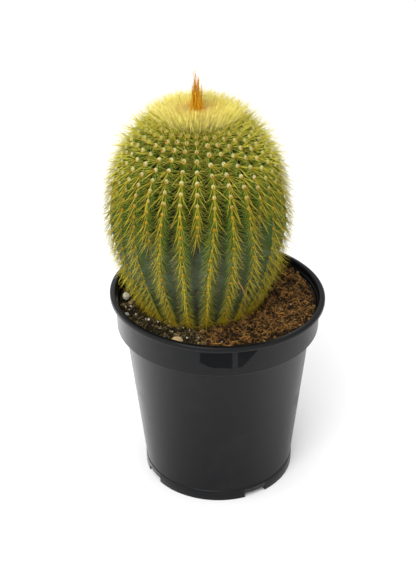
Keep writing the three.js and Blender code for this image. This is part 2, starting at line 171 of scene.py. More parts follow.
def pot_shell():
    foot_inner = FOOT_RADIUS - FOOT_THICKNESS
    lip_under = POT_HEIGHT - LIP_DROP
    lip_inner = LIP_RADIUS - LIP_WIDTH
    bm = turned([
        (0, FLOOR_UNDERSIDE, 0),
        (foot_inner, FLOOR_UNDERSIDE, 0.4),
        (foot_inner, 0, 0.3),
        (FOOT_RADIUS, 0, 0.45),
        (FOOT_RADIUS, FOOT_HEIGHT, 0.12),
        (WALL_LOW_RADIUS, FOOT_HEIGHT + 0.3, 0.1),
        (WALL_TOP_RADIUS, BAND_LOW_Z, 0.5),
        (BAND_LOW_RADIUS, BAND_LOW_Z, 0.45),
        (BAND_TOP_RADIUS, lip_under, 0.7),
        (LIP_RADIUS, lip_under, 0.5),
        (LIP_RADIUS, POT_HEIGHT, 0.95),
        (lip_inner, POT_HEIGHT, 0.8),
        (lip_inner - 0.5, lip_under - 0.6, 0.5),
        (inner_wall_radius(lip_under - 1.5), lip_under - 1.5, 0.3),
        (inner_wall_radius(LEDGE_Z), LEDGE_Z, 0.4),
        (inner_wall_radius(UNDER_LEDGE_Z), UNDER_LEDGE_Z, 0.4),
        (inner_wall_radius(FLOOR_TOP), FLOOR_TOP, 1),
        (0, FLOOR_TOP, 0),
    ], POT_STEPS)
    for vert in bm.verts:
        vert.co.z = sagged_z(vert.co.x, vert.co.z)
    return bm


def pot_cutter():
    """The four notches of the foot ring and the drain holes of the floor."""
    bm = bmesh.new()
    for degrees in NOTCH_ANGLES:
        place = (Matrix.Rotation(math.radians(degrees), 4, "Z")
                 @ Matrix.Translation((0, FOOT_THICKNESS / 2 - FOOT_RADIUS, 0))
                 @ Matrix.Diagonal((NOTCH_WIDTH, 3 * FOOT_THICKNESS, 2 * NOTCH_HEIGHT, 1)))
        bmesh.ops.create_cube(bm, size=1, matrix=place)
    for hole in range(DRAIN_HOLES):
        place = (Matrix.Rotation(hole * FULL_TURN / DRAIN_HOLES, 4, "Z")
                 @ Matrix.Translation((0, DRAIN_CIRCLE_RADIUS, FLOOR_UNDERSIDE)))
        bmesh.ops.create_cone(bm, cap_ends=True, segments=32, radius1=DRAIN_HOLE_RADIUS,
                              radius2=DRAIN_HOLE_RADIUS, depth=DRAIN_CUT_DEPTH, matrix=place)
    bm.transform(TO_FRAME)
    return placed("pot_cutter", mesh_of("pot_cutter", bm))


def cut_away(piece, cutter):
    cut = piece.modifiers.new("cut", "BOOLEAN")
    cut.operation = "DIFFERENCE"
    cut.solver = "EXACT"
    cut.object = cutter
    shown = piece.evaluated_get(bpy.context.evaluated_depsgraph_get())
    mesh = bpy.data.meshes.new_from_object(shown)
    piece.modifiers.clear()
    piece.data = mesh
    bpy.data.objects.remove(cutter)


def new_material(name, roughness, specular):
    material = bpy.data.materials.new(name)
    material.use_nodes = True
    shader = material.node_tree.nodes["Principled BSDF"]
    shader.inputs["Roughness"].default_value = roughness
    shader.inputs["Specular IOR Level"].default_value = specular
    return material, material.node_tree, shader


def node(tree, kind, inputs, **settings):
    """A node with its settings. Each input gets a value, a colour of three numbers, or the output
    that feeds it."""
    made = tree.nodes.new("ShaderNode" + kind)
    for name, value in settings.items():
        setattr(made, name, value)
    for name, value in inputs.items():
        socket = made.inputs[name]
        if isinstance(value, bpy.types.NodeSocket):
            tree.links.new(value, socket)
        else:
            socket.default_value = (*value, 1) if socket.type == "RGBA" else value
    return made


def math_node(tree, operation, one, other=0.0):
    return node(tree, "Math", {0: one, 1: other}, operation=operation).outputs[0]


def times(tree, one, other):
    return math_node(tree, "MULTIPLY", one, other)


def ramp(tree, value, low, high, to_low=0.0, to_high=1.0):
    """A smooth step of a value from one level to another."""
    return node(tree, "MapRange", {"Value": value, "From Min": low, "From Max": high,
                                   "To Min": to_low, "To Max": to_high},
                interpolation_type="SMOOTHSTEP").outputs[0]


def blend(tree, mask, one, other):
    """One colour where the mask is 0, the other where it is 1."""
    return node(tree, "Mix", {0: mask, 6: one, 7: other}, data_type="RGBA").outputs[2]


def paint(tree, shader, colour):
    tree.links.new(colour, shader.inputs["Base Color"])


def in_millimetres(tree):
    """Object coordinates in millimetres round the pot's axis."""
    place = node(tree, "TexCoord", {}).outputs["Object"]
    return node(tree, "Mapping", {"Vector": place, "Scale": (1 / MM,) * 3,
                                  "Location": (-POT_AXIS_X / MM, 0, 0)}).outputs[0]


def new_group(name, given, output, kind):
    """A shader node group, its inputs by name and the socket of its one output."""
    group = bpy.data.node_groups.new(name, "ShaderNodeTree")
    for label, (socket, value) in given.items():
        made = group.interface.new_socket(label, in_out="INPUT", socket_type="NodeSocket" + socket)
        made.default_value = value
    group.interface.new_socket(output, in_out="OUTPUT", socket_type="NodeSocket" + kind)
    inputs = group.nodes.new("NodeGroupInput").outputs
    return group, inputs, group.nodes.new("NodeGroupOutput").inputs[output]


def speckle_group():
    """Soft speckles, 0 to 1 between two levels of a noise whose size is in millimetres."""
    group, given, mask = new_group("speckle", {
        "Size": ("Float", 1), "Detail": ("Float", 3), "Low": ("Float", 0), "High": ("Float", 1),
    }, "Mask", "Float")
    scale = math_node(group, "DIVIDE", 1.0, given["Size"])
    level = node(group, "TexNoise", {"Vector": in_millimetres(group), "Scale": scale,
                                     "Detail": given["Detail"]}).outputs[0]
    group.links.new(ramp(group, level, given["Low"], given["High"]), mask)
    return group


SPECKLE = speckle_group()


def speckle(tree, size, detail, low, high):
    return node(tree, "Group", {"Size": size, "Detail": detail, "Low": low, "High": high},
                node_tree=SPECKLE).outputs[0]


def relief(tree, shader, height, distance, strength=1.0):
    """Raises the surface by a height, given in millimetres where it is 1."""
    bump = node(tree, "Bump", {"Height": height, "Distance": distance * MM, "Strength": strength})
    tree.links.new(bump.outputs[0], shader.inputs["Normal"])


# A polished field on the band, where the mould is smooth, with one matt strip down it. The edges
# of both are soft over about a degree, or half a millimetre.
FIELD_FROM_DEGREES = -10.5
FIELD_TO_DEGREES = 22.5
FIELD_RIGHT_SLANT = 0.95
FIELD_LOW_Z = 100.5
FIELD_CORNER = 3
FIELD_CORNER_DEGREES = 9
FIELD_UNEVEN = 1.5
FIELD_HIGH_Z = 110.5
STRIP_DEGREES = 8.5
STRIP_HALF_DEGREES = 1.5
# The coat is weaker on the right, as painted shade: that side reflects less, as if the floor
# beside it lay in shadow. It sinks to this share between the first two angles from the front,
# and is whole again after the last two.
RIGHT_SHADE_SHARE = 0.3
SHADE_START_DEGREES = (25, 62)
SHADE_END_DEGREES = (110, 170)


def black_plastic():
    material, tree, shader = new_material("black_plastic", 0.36, 0.05)
    axes = node(tree, "SeparateXYZ", {0: in_millimetres(tree)}).outputs
    front = times(tree, axes[1], -1.0)
    turn = math_node(tree, "DEGREES", math_node(tree, "ARCTAN2", axes[0], front))
    uneven = times(tree, speckle(tree, 5, 1, 0.0, 1.0), FIELD_UNEVEN)
    lowest = ramp(tree, turn, FIELD_FROM_DEGREES, FIELD_FROM_DEGREES + FIELD_CORNER_DEGREES,
                  FIELD_LOW_Z + FIELD_CORNER, FIELD_LOW_Z)
    above = math_node(tree, "SUBTRACT", math_node(tree, "ADD", axes[2], uneven), lowest)
    under = math_node(tree, "SUBTRACT", FIELD_HIGH_Z, axes[2])
    slanted = math_node(tree, "ADD", turn, times(tree, under, FIELD_RIGHT_SLANT))
    from_strip = math_node(tree, "ABSOLUTE", math_node(tree, "SUBTRACT", turn, STRIP_DEGREES))
    field = ramp(tree, above, 0.5, 1.1)
    for mask in (
        ramp(tree, turn, FIELD_FROM_DEGREES, FIELD_FROM_DEGREES + 0.8),
        ramp(tree, slanted, FIELD_TO_DEGREES, FIELD_TO_DEGREES - 1.2),
        ramp(tree, axes[2], FIELD_HIGH_Z, FIELD_HIGH_Z - 0.6),
        ramp(tree, from_strip, STRIP_HALF_DEGREES - 0.3, STRIP_HALF_DEGREES + 0.2),
    ):
        field = times(tree, field, mask)
    matt = math_node(tree, "SUBTRACT", 1.0, field)
    scuff = speckle(tree, 14, 4, 0.5, 0.75)
    tree.links.new(ramp(tree, scuff, 0.0, 1.0, 0.33, 0.43), shader.inputs["Roughness"])
    # Painted shade: the coat, and so its reflection, is weaker on the right side.
    worn = math_node(tree, "MAXIMUM", ramp(tree, turn, *SHADE_START_DEGREES, 1.0, RIGHT_SHADE_SHARE),
                     ramp(tree, turn, *SHADE_END_DEGREES, RIGHT_SHADE_SHARE, 1.0))
    tree.links.new(times(tree, matt, worn), shader.inputs["Coat Weight"])
    shader.inputs["Coat Roughness"].default_value = 0.26
    shader.inputs["Coat IOR"].default_value = 1.21
    colour = blend(tree, scuff, (0.0036, 0.0038, 0.0046), (0.0065, 0.0067, 0.0074))
    paint(tree, shader, colour)
    grain = times(tree, speckle(tree, 0.5, 3, 0.0, 1.0), matt)
    relief(tree, shader, grain, 0.03, 0.5)
    return material


pot = finished("nursery_pot", pot_shell(), black_plastic(), SHARP_DEGREES)
cut_away(pot, pot_cutter())
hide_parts("pot")

# ---- Compost ----
# Peat and coir compost fills the pot to a few millimetres under the lip. It is one body with a
# hollow for the plant's root stock. Loose crumbs, coir fibres and grit lie on it further down.

CLEARANCE = 0.3
SOIL_Z = 108.9
SOIL_RISE_X = -0.004
SOIL_RISE_Y = 0.022
SOIL_LUMP = 0.53
# The bed lies this much under the loose crumbs, and is rough up to near the pot's wall.
BED_DROP = 0.6
BED_ROUGHNESS = 0.55
BED_PITCH = 0.3
BED_RIM_FADE = 3
PLANT_X = -10.2
PLANT_Y = 4
FOOT_Z = 108.5
FOOT_RIB_RADIUS = 31.8
MOUTH_MARGIN = 1.2
HOLE_MARGIN = 0.2
ROOT_LINE = ((9, 86), (21, 95), (28.5, 103))
ROOT_END_Z = 83
SOIL_STEPS = 200
SOIL_CUTS = 26


def soil_top(x, y):
    """The height of the compost: a slope with low waves, the same as the solid's."""
    lumps = math.sin(x * 0.31 + 1.1) * math.cos(y * 0.27) + math.sin((x + y) * 0.53) * 0.5
    return SOIL_Z + SOIL_RISE_X * x + SOIL_RISE_Y * y + SOIL_LUMP * lumps


def moved_ring(bm, edges, centre, radius, z):
    """Extrudes a ring of edges and moves the new ring to another radius and height."""
    new = bmesh.ops.extrude_edge_only(bm, edges=edges)["geom"]
    for vert in (item for item in new if isinstance(item, bmesh.types.BMVert)):
        offset = Vector((vert.co.x - centre[0], vert.co.y - centre[1], 0)).normalized() * radius
        vert.co = (centre[0] + offset.x, centre[1] + offset.y, z)
    return [item for item in new if isinstance(item, bmesh.types.BMEdge)]


def compost_bed():
    plant = (PLANT_X, PLANT_Y)
    wall = inner_wall_radius(SOIL_Z) - CLEARANCE - 0.1
    bm = bmesh.new()
    bmesh.ops.create_circle(bm, segments=SOIL_STEPS, radius=wall)
    bmesh.ops.create_circle(bm, segments=SOIL_STEPS, radius=FOOT_RIB_RADIUS + MOUTH_MARGIN,
                            matrix=Matrix.Translation((PLANT_X, PLANT_Y, 0)))
    rims = bm.edges[:]
    outer, inner = rims[:SOIL_STEPS], rims[SOIL_STEPS:]
    spokes = bmesh.ops.bridge_loops(bm, edges=rims)["edges"]
    bmesh.ops.subdivide_edges(bm, edges=spokes, cuts=SOIL_CUTS, use_grid_fill=True)
    for vert in bm.verts:
        x, y = vert.co.x, vert.co.y
        rough = noise.fractal((x * BED_PITCH, y * BED_PITCH, 2), 0.7, 2.1, 4)
        from_rim = min(1, (wall - math.hypot(x, y)) / BED_RIM_FADE)
        vert.co.z = soil_top(x, y) + BED_ROUGHNESS * rough * from_rim - BED_DROP
    for z, radius in (
        (LEDGE_Z + CLEARANCE + 0.2, inner_wall_radius(LEDGE_Z)),
        (LEDGE_Z + CLEARANCE, inner_wall_radius(UNDER_LEDGE_Z)),
        (FLOOR_TOP + CLEARANCE, inner_wall_radius(FLOOR_TOP)),
    ):
        outer = moved_ring(bm, outer, (0, 0), radius - CLEARANCE, z)
    bmesh.ops.contextual_create(bm, geom=outer)
    for radius, z in reversed(ROOT_LINE):
        inner = moved_ring(bm, inner, plant, radius + CLEARANCE + HOLE_MARGIN, z)
    bmesh.ops.contextual_create(bm, geom=inner)
    bmesh.ops.recalc_face_normals(bm, faces=bm.faces[:])
    for vert in bm.verts:
        if vert.co.z < LEDGE_Z + 1:
            vert.co.z = max(FLOOR_TOP + CLEARANCE, sagged_z(vert.co.x, vert.co.z))
    return bm


def peat():
    material, tree, shader = new_material("peat", 0.95, 0.2)
    coarse = speckle(tree, 2.5, 4, 0.35, 0.65)
    fine = speckle(tree, 0.6, 3, 0.4, 0.65)
    colour = blend(tree, coarse, (0.008, 0.006, 0.003), (0.035, 0.022, 0.009))
    colour = blend(tree, fine, colour, (0.06, 0.038, 0.014))
    paint(tree, shader, colour)
    relief(tree, shader, math_node(tree, "ADD", coarse, fine), 0.5)
    return material


compost = finished("compost_bed", compost_bed(), peat())
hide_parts("compost")

# ---- Crumbs, coir fibres and perlite ----
# The loose top of the compost: peat crumbs and curly coir fibres all over, redder and thicker in
# the heap of coir in front and on the right, and white perlite grains, most of them on the left.

RIM_MARGIN = 1.5
HEAP_X = 17
HEAP_Y = -33
HEAP_WIDTH = 17
HEAP_HEIGHT = 1.9
LOOSE_REACH = 54
LOOSE_FADE = 6
CLUMP_PITCH = 0.3
CLUMP_HEIGHT = 1.1
# The coir begins along this slanting, uneven line and is pure after its width.
COIR_FROM_X = -11
COIR_SLANT = 0.1
COIR_UNEVEN = 6
COIR_WIDTH = 16
STONES = ("tan_pebble", "perlite_lump", "buff_chip", "brown_chip", "white_chip")
STONE_CLEARANCE = 0.6
CRUMBS = 6500
CRUMB_LEAST = 0.55
CRUMB_SPREAD = 2.4
# Places that are tried for fibres and grains, and the chance of one there: outside the coir, and
# what the coir adds, or for the grains the other way round.
FIBRE_PLACES = 5200
FIBRE_CHANCE = 0.45
FIBRE_CHANCE_ADDED = 0.55
FIBRE_LENGTHS = (2, 6)
GRAIN_PLACES = 1500
GRAIN_CHANCE = 0.014
GRAIN_CHANCE_ADDED = 0.17
GRAIN_LEAST = 0.4
GRAIN_SPREAD = 1.4


def clamped(value):
    return min(1, max(0, value))


def eased(value, start, end):
    """A smooth step from 0 at the start to 1 at the end, which may be the lower of the two."""
    share = clamped((value - start) / (end - start))
    return share * share * (3 - 2 * share)


def lump(rng, flatness):
    """A small uneven crumb, 1 across, of twenty faces."""
    bm = bmesh.new()
    bmesh.ops.create_icosphere(bm, subdivisions=1, radius=0.5)
    for vert in bm.verts:
        vert.co *= rng.uniform(0.65, 1.15)
        vert.co.z *= flatness
    return mesh_of("crumb", bm)


def strand(thickness, cuts, sway, tip=0.0):
    """A three-sided strand, 1 long up +Z. It keeps its thickness to near the point, or tapers to
    a blunt tip. sway gives how far its middle swings at a height."""
    bm = bmesh.new()
    bmesh.ops.create_cone(bm, cap_ends=True, segments=3, radius1=thickness / 2,
                          radius2=thickness / 2 * tip, depth=1,
                          matrix=Matrix.Translation((0, 0, 0.5)))
    for step in range(1, cuts + 1):
        bmesh.ops.bisect_plane(bm, geom=bm.verts[:] + bm.edges[:] + bm.faces[:], dist=1e-6,
                               plane_co=(0, 0, step / (cuts + 1)), plane_no=(0, 0, 1))
    for vert in bm.verts:
        height = vert.co.z
        fuller = 1 if tip else (1 - height ** 3) / max(0.05, 1 - height)
        vert.co.x = vert.co.x * fuller + sway(height)[0]
        vert.co.y = vert.co.y * fuller + sway(height)[1]
    return mesh_of("strand", bm)


def standing(root, direction, towards, size):
    """Where a shape stands at its root along a direction, with its +X side towards another."""
    up = Vector(direction).normalized()
    side = up.cross(Vector(towards)).normalized()
    turn = Matrix((side.cross(up), side, up)).transposed().to_4x4()
    return Matrix.Translation(root) @ turn @ Matrix.Scale(size, 4)


def height_of(point):
    return point.z


def scattered(name, stamps, material, slot, **measures):
    """One piece of many small shapes. A stamp is a mesh, its place and its traits, numbers from 0
    to 1. The material reads them, and the measures of where a point lies on its shape."""
    stamps = list(stamps)
    bm = bmesh.new()
    for shape, place, _ in stamps:
        copy = shape.copy()
        copy.transform(place)
        bm.from_mesh(copy)
        bpy.data.meshes.remove(copy)
    piece = finished(name, bm, material)
    values = {label: [traits[label] for shape, _, traits in stamps for _ in shape.vertices]
              for label in stamps[0][2]}
    for label, measure in (measures or {"along": height_of}).items():
        values[label] = [measure(vert.co) for shape, _, _ in stamps for vert in shape.vertices]
    for label, numbers in values.items():
        attribute = piece.data.attributes.new(label, "FLOAT", "POINT")
        attribute.data.foreach_set("value", numbers)
    return piece


def trait(tree, name):
    return node(tree, "Attribute", {}, attribute_name=name).outputs["Fac"]


def soil_places(rng, count, margin=0.0):
    """Random places on the open compost, between the pot's wall and the plant's foot."""
    wall = inner_wall_radius(SOIL_Z) - RIM_MARGIN - margin
    places = []
    while len(places) < count:
        x, y = rng.uniform(-wall, wall), rng.uniform(-wall, wall)
        beside_plant = math.hypot(x - PLANT_X, y - PLANT_Y) > FOOT_RIB_RADIUS - 1
        if math.hypot(x, y) < wall and beside_plant and clear_of_stones(x, y):
            places.append((x, y))
    return places


def stone_circles():
    """The middle and the radius of the place that each of the bigger stones keeps clear."""
    circles = []
    for name in STONES:
        low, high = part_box(name)
        middle = TO_FRAME.inverted() @ ((low + high) / 2)
        circles.append((middle.x, middle.y, STONE_CLEARANCE * (high.x - low.x) / MM))
    return circles


STONE_CIRCLES = stone_circles()


def clear_of_stones(x, y):
    return all(math.hypot(x - middle_x, y - middle_y) > radius
               for middle_x, middle_y, radius in STONE_CIRCLES)


def coir_share(x, y):
    """1 in the coir heap in front and on the right, 0 on the dark left side."""
    uneven = COIR_UNEVEN * noise.noise((x * 0.1, y * 0.1, 5))
    return eased(x - COIR_SLANT * y - COIR_FROM_X + uneven, 0, COIR_WIDTH)


def clump(x, y):
    """The loose material lies in clumps a few millimetres across, high at 1 and low at -1."""
    return noise.fractal((x * CLUMP_PITCH, y * CLUMP_PITCH, 9), 0.8, 2.0, 3)


def loose_top(x, y):
    """The height of the loose material, which is heaped up a little in front on the right."""
    heap = HEAP_HEIGHT * math.exp(-((x - HEAP_X) ** 2 + (y - HEAP_Y) ** 2) / HEAP_WIDTH ** 2)
    inside = clamped((LOOSE_REACH - math.hypot(x, y)) / LOOSE_FADE)
    return soil_top(x, y) + (heap + CLUMP_HEIGHT * clump(x, y)) * inside


def tumbled(rng, place, size):
    """Where a crumb or a grain lies, turned any way."""
    turn = (Matrix.Rotation(rng.uniform(0, FULL_TURN), 4, "Z")
            @ Matrix.Rotation(rng.uniform(0, FULL_TURN), 4, "X"))
    return Matrix.Translation(place) @ turn @ Matrix.Scale(size, 4)


def crumbs():
    rng = random.Random(11)
    shapes = [lump(rng, rng.uniform(0.6, 1)) for _ in range(10)]
    for x, y in soil_places(rng, CRUMBS):
        size = CRUMB_LEAST + CRUMB_SPREAD * rng.random() ** 3
        z = loose_top(x, y) - 0.6 + rng.uniform(0, 0.8) + 0.15 * size
        place = tumbled(rng, (x, y, z), size)
        red = coir_share(x, y) * rng.uniform(0.3, 1)
        # The tone is partly random and partly painted shade: crumbs low between the clumps are
        # darker.
        tone = clamped(rng.random() + 0.5 * clump(x, y))
        yield rng.choice(shapes), place, {"red": red, "tone": tone}


def crumb_material():
    material, tree, shader = new_material("peat_crumb", 0.95, 0.15)
    tone = trait(tree, "tone")
    dark = blend(tree, ramp(tree, tone, 0.65, 1.0), (0.024, 0.018, 0.008), (0.34, 0.24, 0.09))
    red = blend(tree, ramp(tree, tone, 0.3, 1.0), (0.016, 0.008, 0.002), (0.3, 0.15, 0.035))
    colour = blend(tree, trait(tree, "red"), dark, red)
    patch = speckle(tree, 0.5, 3, 0.35, 0.7)
    colour = blend(tree, times(tree, patch, 0.6), colour, (0.008, 0.006, 0.003))
    paint(tree, shader, colour)
    relief(tree, shader, patch, 0.2)
    return material


scattered("compost_crumbs", crumbs(), crumb_material(), "compost")


def curl(rng):
    """A swing to both sides for a coir fibre."""
    width, waves, start = rng.uniform(0.08, 0.26), rng.uniform(0.7, 2.2), rng.uniform(0, FULL_TURN)

    def sway(height):
        phase = start + height * waves * FULL_TURN / 2
        return (width * (math.sin(phase) - math.sin(start)),
                0.7 * width * (math.cos(phase * 1.3) - 1))

    return sway


def fibres():
    rng = random.Random(12)
    shapes = [strand(rng.uniform(0.05, 0.1), 6, curl(rng), 0.4) for _ in range(20)]
    for x, y in soil_places(rng, FIBRE_PLACES, 1.5):
        share = coir_share(x, y)
        if rng.random() > FIBRE_CHANCE + FIBRE_CHANCE_ADDED * share:
            continue
        heading = rng.uniform(0, FULL_TURN)
        level = Vector((math.sin(heading), math.cos(heading), rng.uniform(-0.2, 0.5)))
        length = rng.uniform(*FIBRE_LENGTHS)
        z = loose_top(x, y) + rng.uniform(-0.2, 1.1)
        root = Vector((x, y, z)) - level * length / 2
        if math.hypot(root.x + level.x * length, root.y + level.y * length) > LOOSE_REACH:
            continue
        towards = rng.uniform(-1, 1), rng.uniform(-1, 1), rng.random()
        place = standing(root, level, towards, length)
        # The tone is partly random and partly painted shade: fibres low between the clumps are
        # darker.
        tone = clamped(rng.random() + 0.6 * clump(x, y))
        yield rng.choice(shapes), place, {"red": share, "tone": tone}


def fibre_material():
    material, tree, shader = new_material("coir_fibre", 0.7, 0.3)
    tone = trait(tree, "tone")
    dark = blend(tree, ramp(tree, tone, 0.3, 1.0), (0.03, 0.02, 0.008), (0.36, 0.27, 0.12))
    red = blend(tree, ramp(tree, tone, 0.4, 1.0), (0.026, 0.011, 0.003), (0.56, 0.26, 0.055))
    colour = blend(tree, trait(tree, "red"), dark, red)
    paint(tree, shader, colour)
    return material


scattered("coir_fibres", fibres(), fibre_material(), "compost")


def perlite_grains():
    rng = random.Random(13)
    shapes = [lump(rng, rng.uniform(0.7, 1)) for _ in range(8)]
    for x, y in soil_places(rng, GRAIN_PLACES):
        if rng.random() < GRAIN_CHANCE_ADDED * (1 - coir_share(x, y)) + GRAIN_CHANCE:
            size = GRAIN_LEAST + GRAIN_SPREAD * rng.random() ** 3
            place = tumbled(rng, (x, y, loose_top(x, y) + 0.35 + 0.2 * size), size)
            yield rng.choice(shapes), place, {"tone": rng.random()}


def stony(name, bright, dull):
    material, tree, shader = new_material(name, 0.9, 0.2)
    patch = speckle(tree, 0.9, 4, 0.35, 0.65)
    pits = speckle(tree, 0.35, 2, 0.3, 0.55)
    colour = blend(tree, patch, bright, dull)
    paint(tree, shader, colour)
    relief(tree, shader, math_node(tree, "ADD", patch, pits), 0.25)
    return material


PERLITE = stony("perlite", (0.9, 0.86, 0.72), (0.55, 0.5, 0.36))
scattered("perlite_grains", perlite_grains(), PERLITE, "perlite")

# ---- Stones ----
# Five bigger pieces lie half sunk in the compost, each in its own place: a tan pebble, a lump and
# a chip of white perlite, and a buff and a brown chip of stone.

# The slot of each of the stones, and its colours where it is bright and dull.
STONE_FINISHES = (
    ("tan_stone", (0.76, 0.57, 0.31), (0.52, 0.35, 0.16)),
    ("perlite", (0.92, 0.88, 0.7), (0.7, 0.64, 0.42)),
    ("tan_stone", (0.5, 0.38, 0.2), (0.3, 0.2, 0.1)),
    ("brown_stone", (0.26, 0.15, 0.07), (0.12, 0.065, 0.03)),
    ("perlite", (0.62, 0.6, 0.55), (0.4, 0.38, 0.34)),
)
STONE_SIZE = 0.97
STONE_SWELL = 0.1

for number, (name, (slot, bright, dull)) in enumerate(zip(STONES, STONE_FINISHES)):
    low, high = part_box(name)
    place = TO_FRAME.inverted() @ Matrix.Translation((low + high) / 2)
    bm = bmesh.new()
    bmesh.ops.create_icosphere(bm, subdivisions=4, radius=0.5)
    for vert in bm.verts:
        swell = noise.fractal(vert.co * 2.4 + Vector((0, 0, 7 * number)), 0.8, 2.2, 4)
        vert.co *= STONE_SIZE + STONE_SWELL * swell
    bmesh.ops.transform(bm, matrix=place @ Matrix.Diagonal((*(high - low), 1)), verts=bm.verts[:])
    stone = finished(name + "_stone", bm, stony(name, bright, dull))
    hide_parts(name)

# ---- Stem ----
# One grown body: a green, waxy, ribbed barrel on its root stock. Twenty-three ribs start at the
# foot and eight more rise between them part of the way up, so that the crown has thirty-one.

GIRTH_Z = 157
APEX_Z = 219.6
GIRTH_RIB_RADIUS = 47.7
LOWER_SWELL = 1.48
UPPER_RISE = 2 / 2.11
UPPER_ROUND = 2 / 2.38
RIBS = 31
LATE_RIBS = 8
FIRST_RIBS = RIBS - LATE_RIBS
LATE_START_Z = 150
LATE_START_SPREAD = 32
LATE_GROWTH = 20
SHIFT_Z = (140, 192)
RIB_DEPTH = 4.8
RIB_DEPTH_IN_SOIL = 1.5
DEEPENING_HEIGHT = 14
FULL_DEPTH_RADIUS = 36
RIB_TURN = 0.0165
RIB_STEPS = 10
LOWER_ROWS = 56
UPPER_ROWS = 96
CREST_ROUNDING = 1.5
# The skin is swollen round each areole, and a little uneven all over.
AREOLE_SWELL = 0.6
SWELL_WIDTH = 1.5
FAR_FROM_AREOLES = 9
SKIN_UNEVEN = 0.25
SKIN_PITCH = 0.13


def draw(index, salt):
    """A repeatable number from 0 to 1 for each pair."""
    return (math.sin(index * 12.9898 + salt * 78.233) * 43758.5453) % 1


def crest_at(part):
    """The radius and height of the crests: part 0 is at the compost, 1 at the girth, 2 the tip."""
    if part < 1:
        below = 1 - part
        radius = GIRTH_RIB_RADIUS - (GIRTH_RIB_RADIUS - FOOT_RIB_RADIUS) * below ** LOWER_SWELL
        return radius, GIRTH_Z - (GIRTH_Z - FOOT_Z) * below
    angle = (part - 1) * math.pi / 2
    return (GIRTH_RIB_RADIUS * max(0, math.cos(angle)) ** UPPER_ROUND,
            GIRTH_Z + (APEX_Z - GIRTH_Z) * math.sin(angle) ** UPPER_RISE)


def top_z(radius):
    """The height of the crests near the tip, by their distance from the plant's axis."""
    cosine = (radius / GIRTH_RIB_RADIUS) ** (1 / UPPER_ROUND)
    return GIRTH_Z + (APEX_Z - GIRTH_Z) * math.sqrt(1 - cosine * cosine) ** UPPER_RISE


def is_late(rib):
    return (rib + 1) * LATE_RIBS // RIBS > rib * LATE_RIBS // RIBS


def rib_growth(rib, z):
    if not is_late(rib):
        return 1
    return eased(z - LATE_START_Z - LATE_START_SPREAD * draw(rib, 1), 0, LATE_GROWTH)


def rib_turns():
    """Where each crest lies at the foot and at the crown, in turns."""
    lows, first = [], 0
    for rib in range(RIBS):
        first += not is_late(rib)
        lows.append((first if is_late(rib) else first - 0.5) / FIRST_RIBS)
    highs = [(rib + 0.5) / RIBS for rib in range(RIBS)]
    drift = sum(high - low for high, low in zip(highs, lows)) / RIBS
    return [(low + drift, high) for low, high in zip(lows, highs)]


RIB_TURNS = rib_turns()


@functools.lru_cache(maxsize=None)
def rib_angles(z):
    """Every rib's groove angle, crest angle and growth at a height."""
    moved = eased(z, *SHIFT_Z)
    crests = [low + (high - low) * moved for low, high in RIB_TURNS]
    shares = [rib_growth(rib, z) for rib in range(RIBS)]
    angles = []
    for rib, crest in enumerate(crests):
        gap = (crest - crests[rib - 1]) % 1
        groove = crest - gap * shares[rib] / (shares[rib] + shares[rib - 1])
        groove, crest = ((turn + RIB_TURN) * FULL_TURN for turn in (groove, crest))
        angles.append((groove, crest, shares[rib]))
    return angles


def rib_depth(z, radius):
    above = clamped((z - FOOT_Z + 4) / DEEPENING_HEIGHT)
    full = RIB_DEPTH_IN_SOIL + (RIB_DEPTH - RIB_DEPTH_IN_SOIL) * above
    return full * min(1, radius / FULL_DEPTH_RADIUS)


def on_plant(angle, radius, z):
    """A point by its angle from the front, towards +X."""
    return Vector((PLANT_X + radius * math.sin(angle), PLANT_Y - radius * math.cos(angle), z))


# Areoles, the pads that the spines grow from, follow each other along every crest. They lie closer
# together at the foot, where the ribs have shrunk, and at the crown, where they are new.

FIRST_AREOLE_Z = 109.5
CROWN_RADIUS = 16
CROWN_MARGIN = 1.2
FOOT_AREOLE_STEP = 3.5
AREOLE_STEP = 5.4
CROWN_AREOLE_STEP = 4.1
# Heights and radii at which a change starts and is done: the steps get longer above the foot and
# shorter near the crown, and an areole counts as old, as low and as one of the crown's.
FOOT_STEP_ENDS_Z = (108, 144)
CROWN_STEP_RADII = (18, 32)
AGE_Z = (203, 158)
LOW_Z = (129, 112)
CROWN_RADII = (CROWN_RADIUS + 13, CROWN_RADIUS)
CREST_PARTS = 900
GROWN_SHARE = 0.45


class Areole:
    """A pad on a crest, with the directions out of the skin, down the rib and across it."""

    def __init__(self, rib, radius, z, slope):
        _, crest, share = rib_angles(round(z, 2))[rib]
        outward = Vector((math.sin(crest), -math.cos(crest), 0))
        upward = Vector((0, 0, 1))
        self.across = Vector((math.cos(crest), math.sin(crest), 0))
        self.out = outward * math.sin(slope) - upward * math.cos(slope)
        self.down = -outward * math.cos(slope) - upward * math.sin(slope)
        self.point = on_plant(crest, radius - rib_depth(z, radius) * (1 - share), z)
        self.z = z
        self.traits = {
            "age": eased(z, *AGE_Z),
            "low": eased(z, *LOW_Z),
            "crown": eased(radius, *CROWN_RADII) if z > GIRTH_Z else 0,
        }


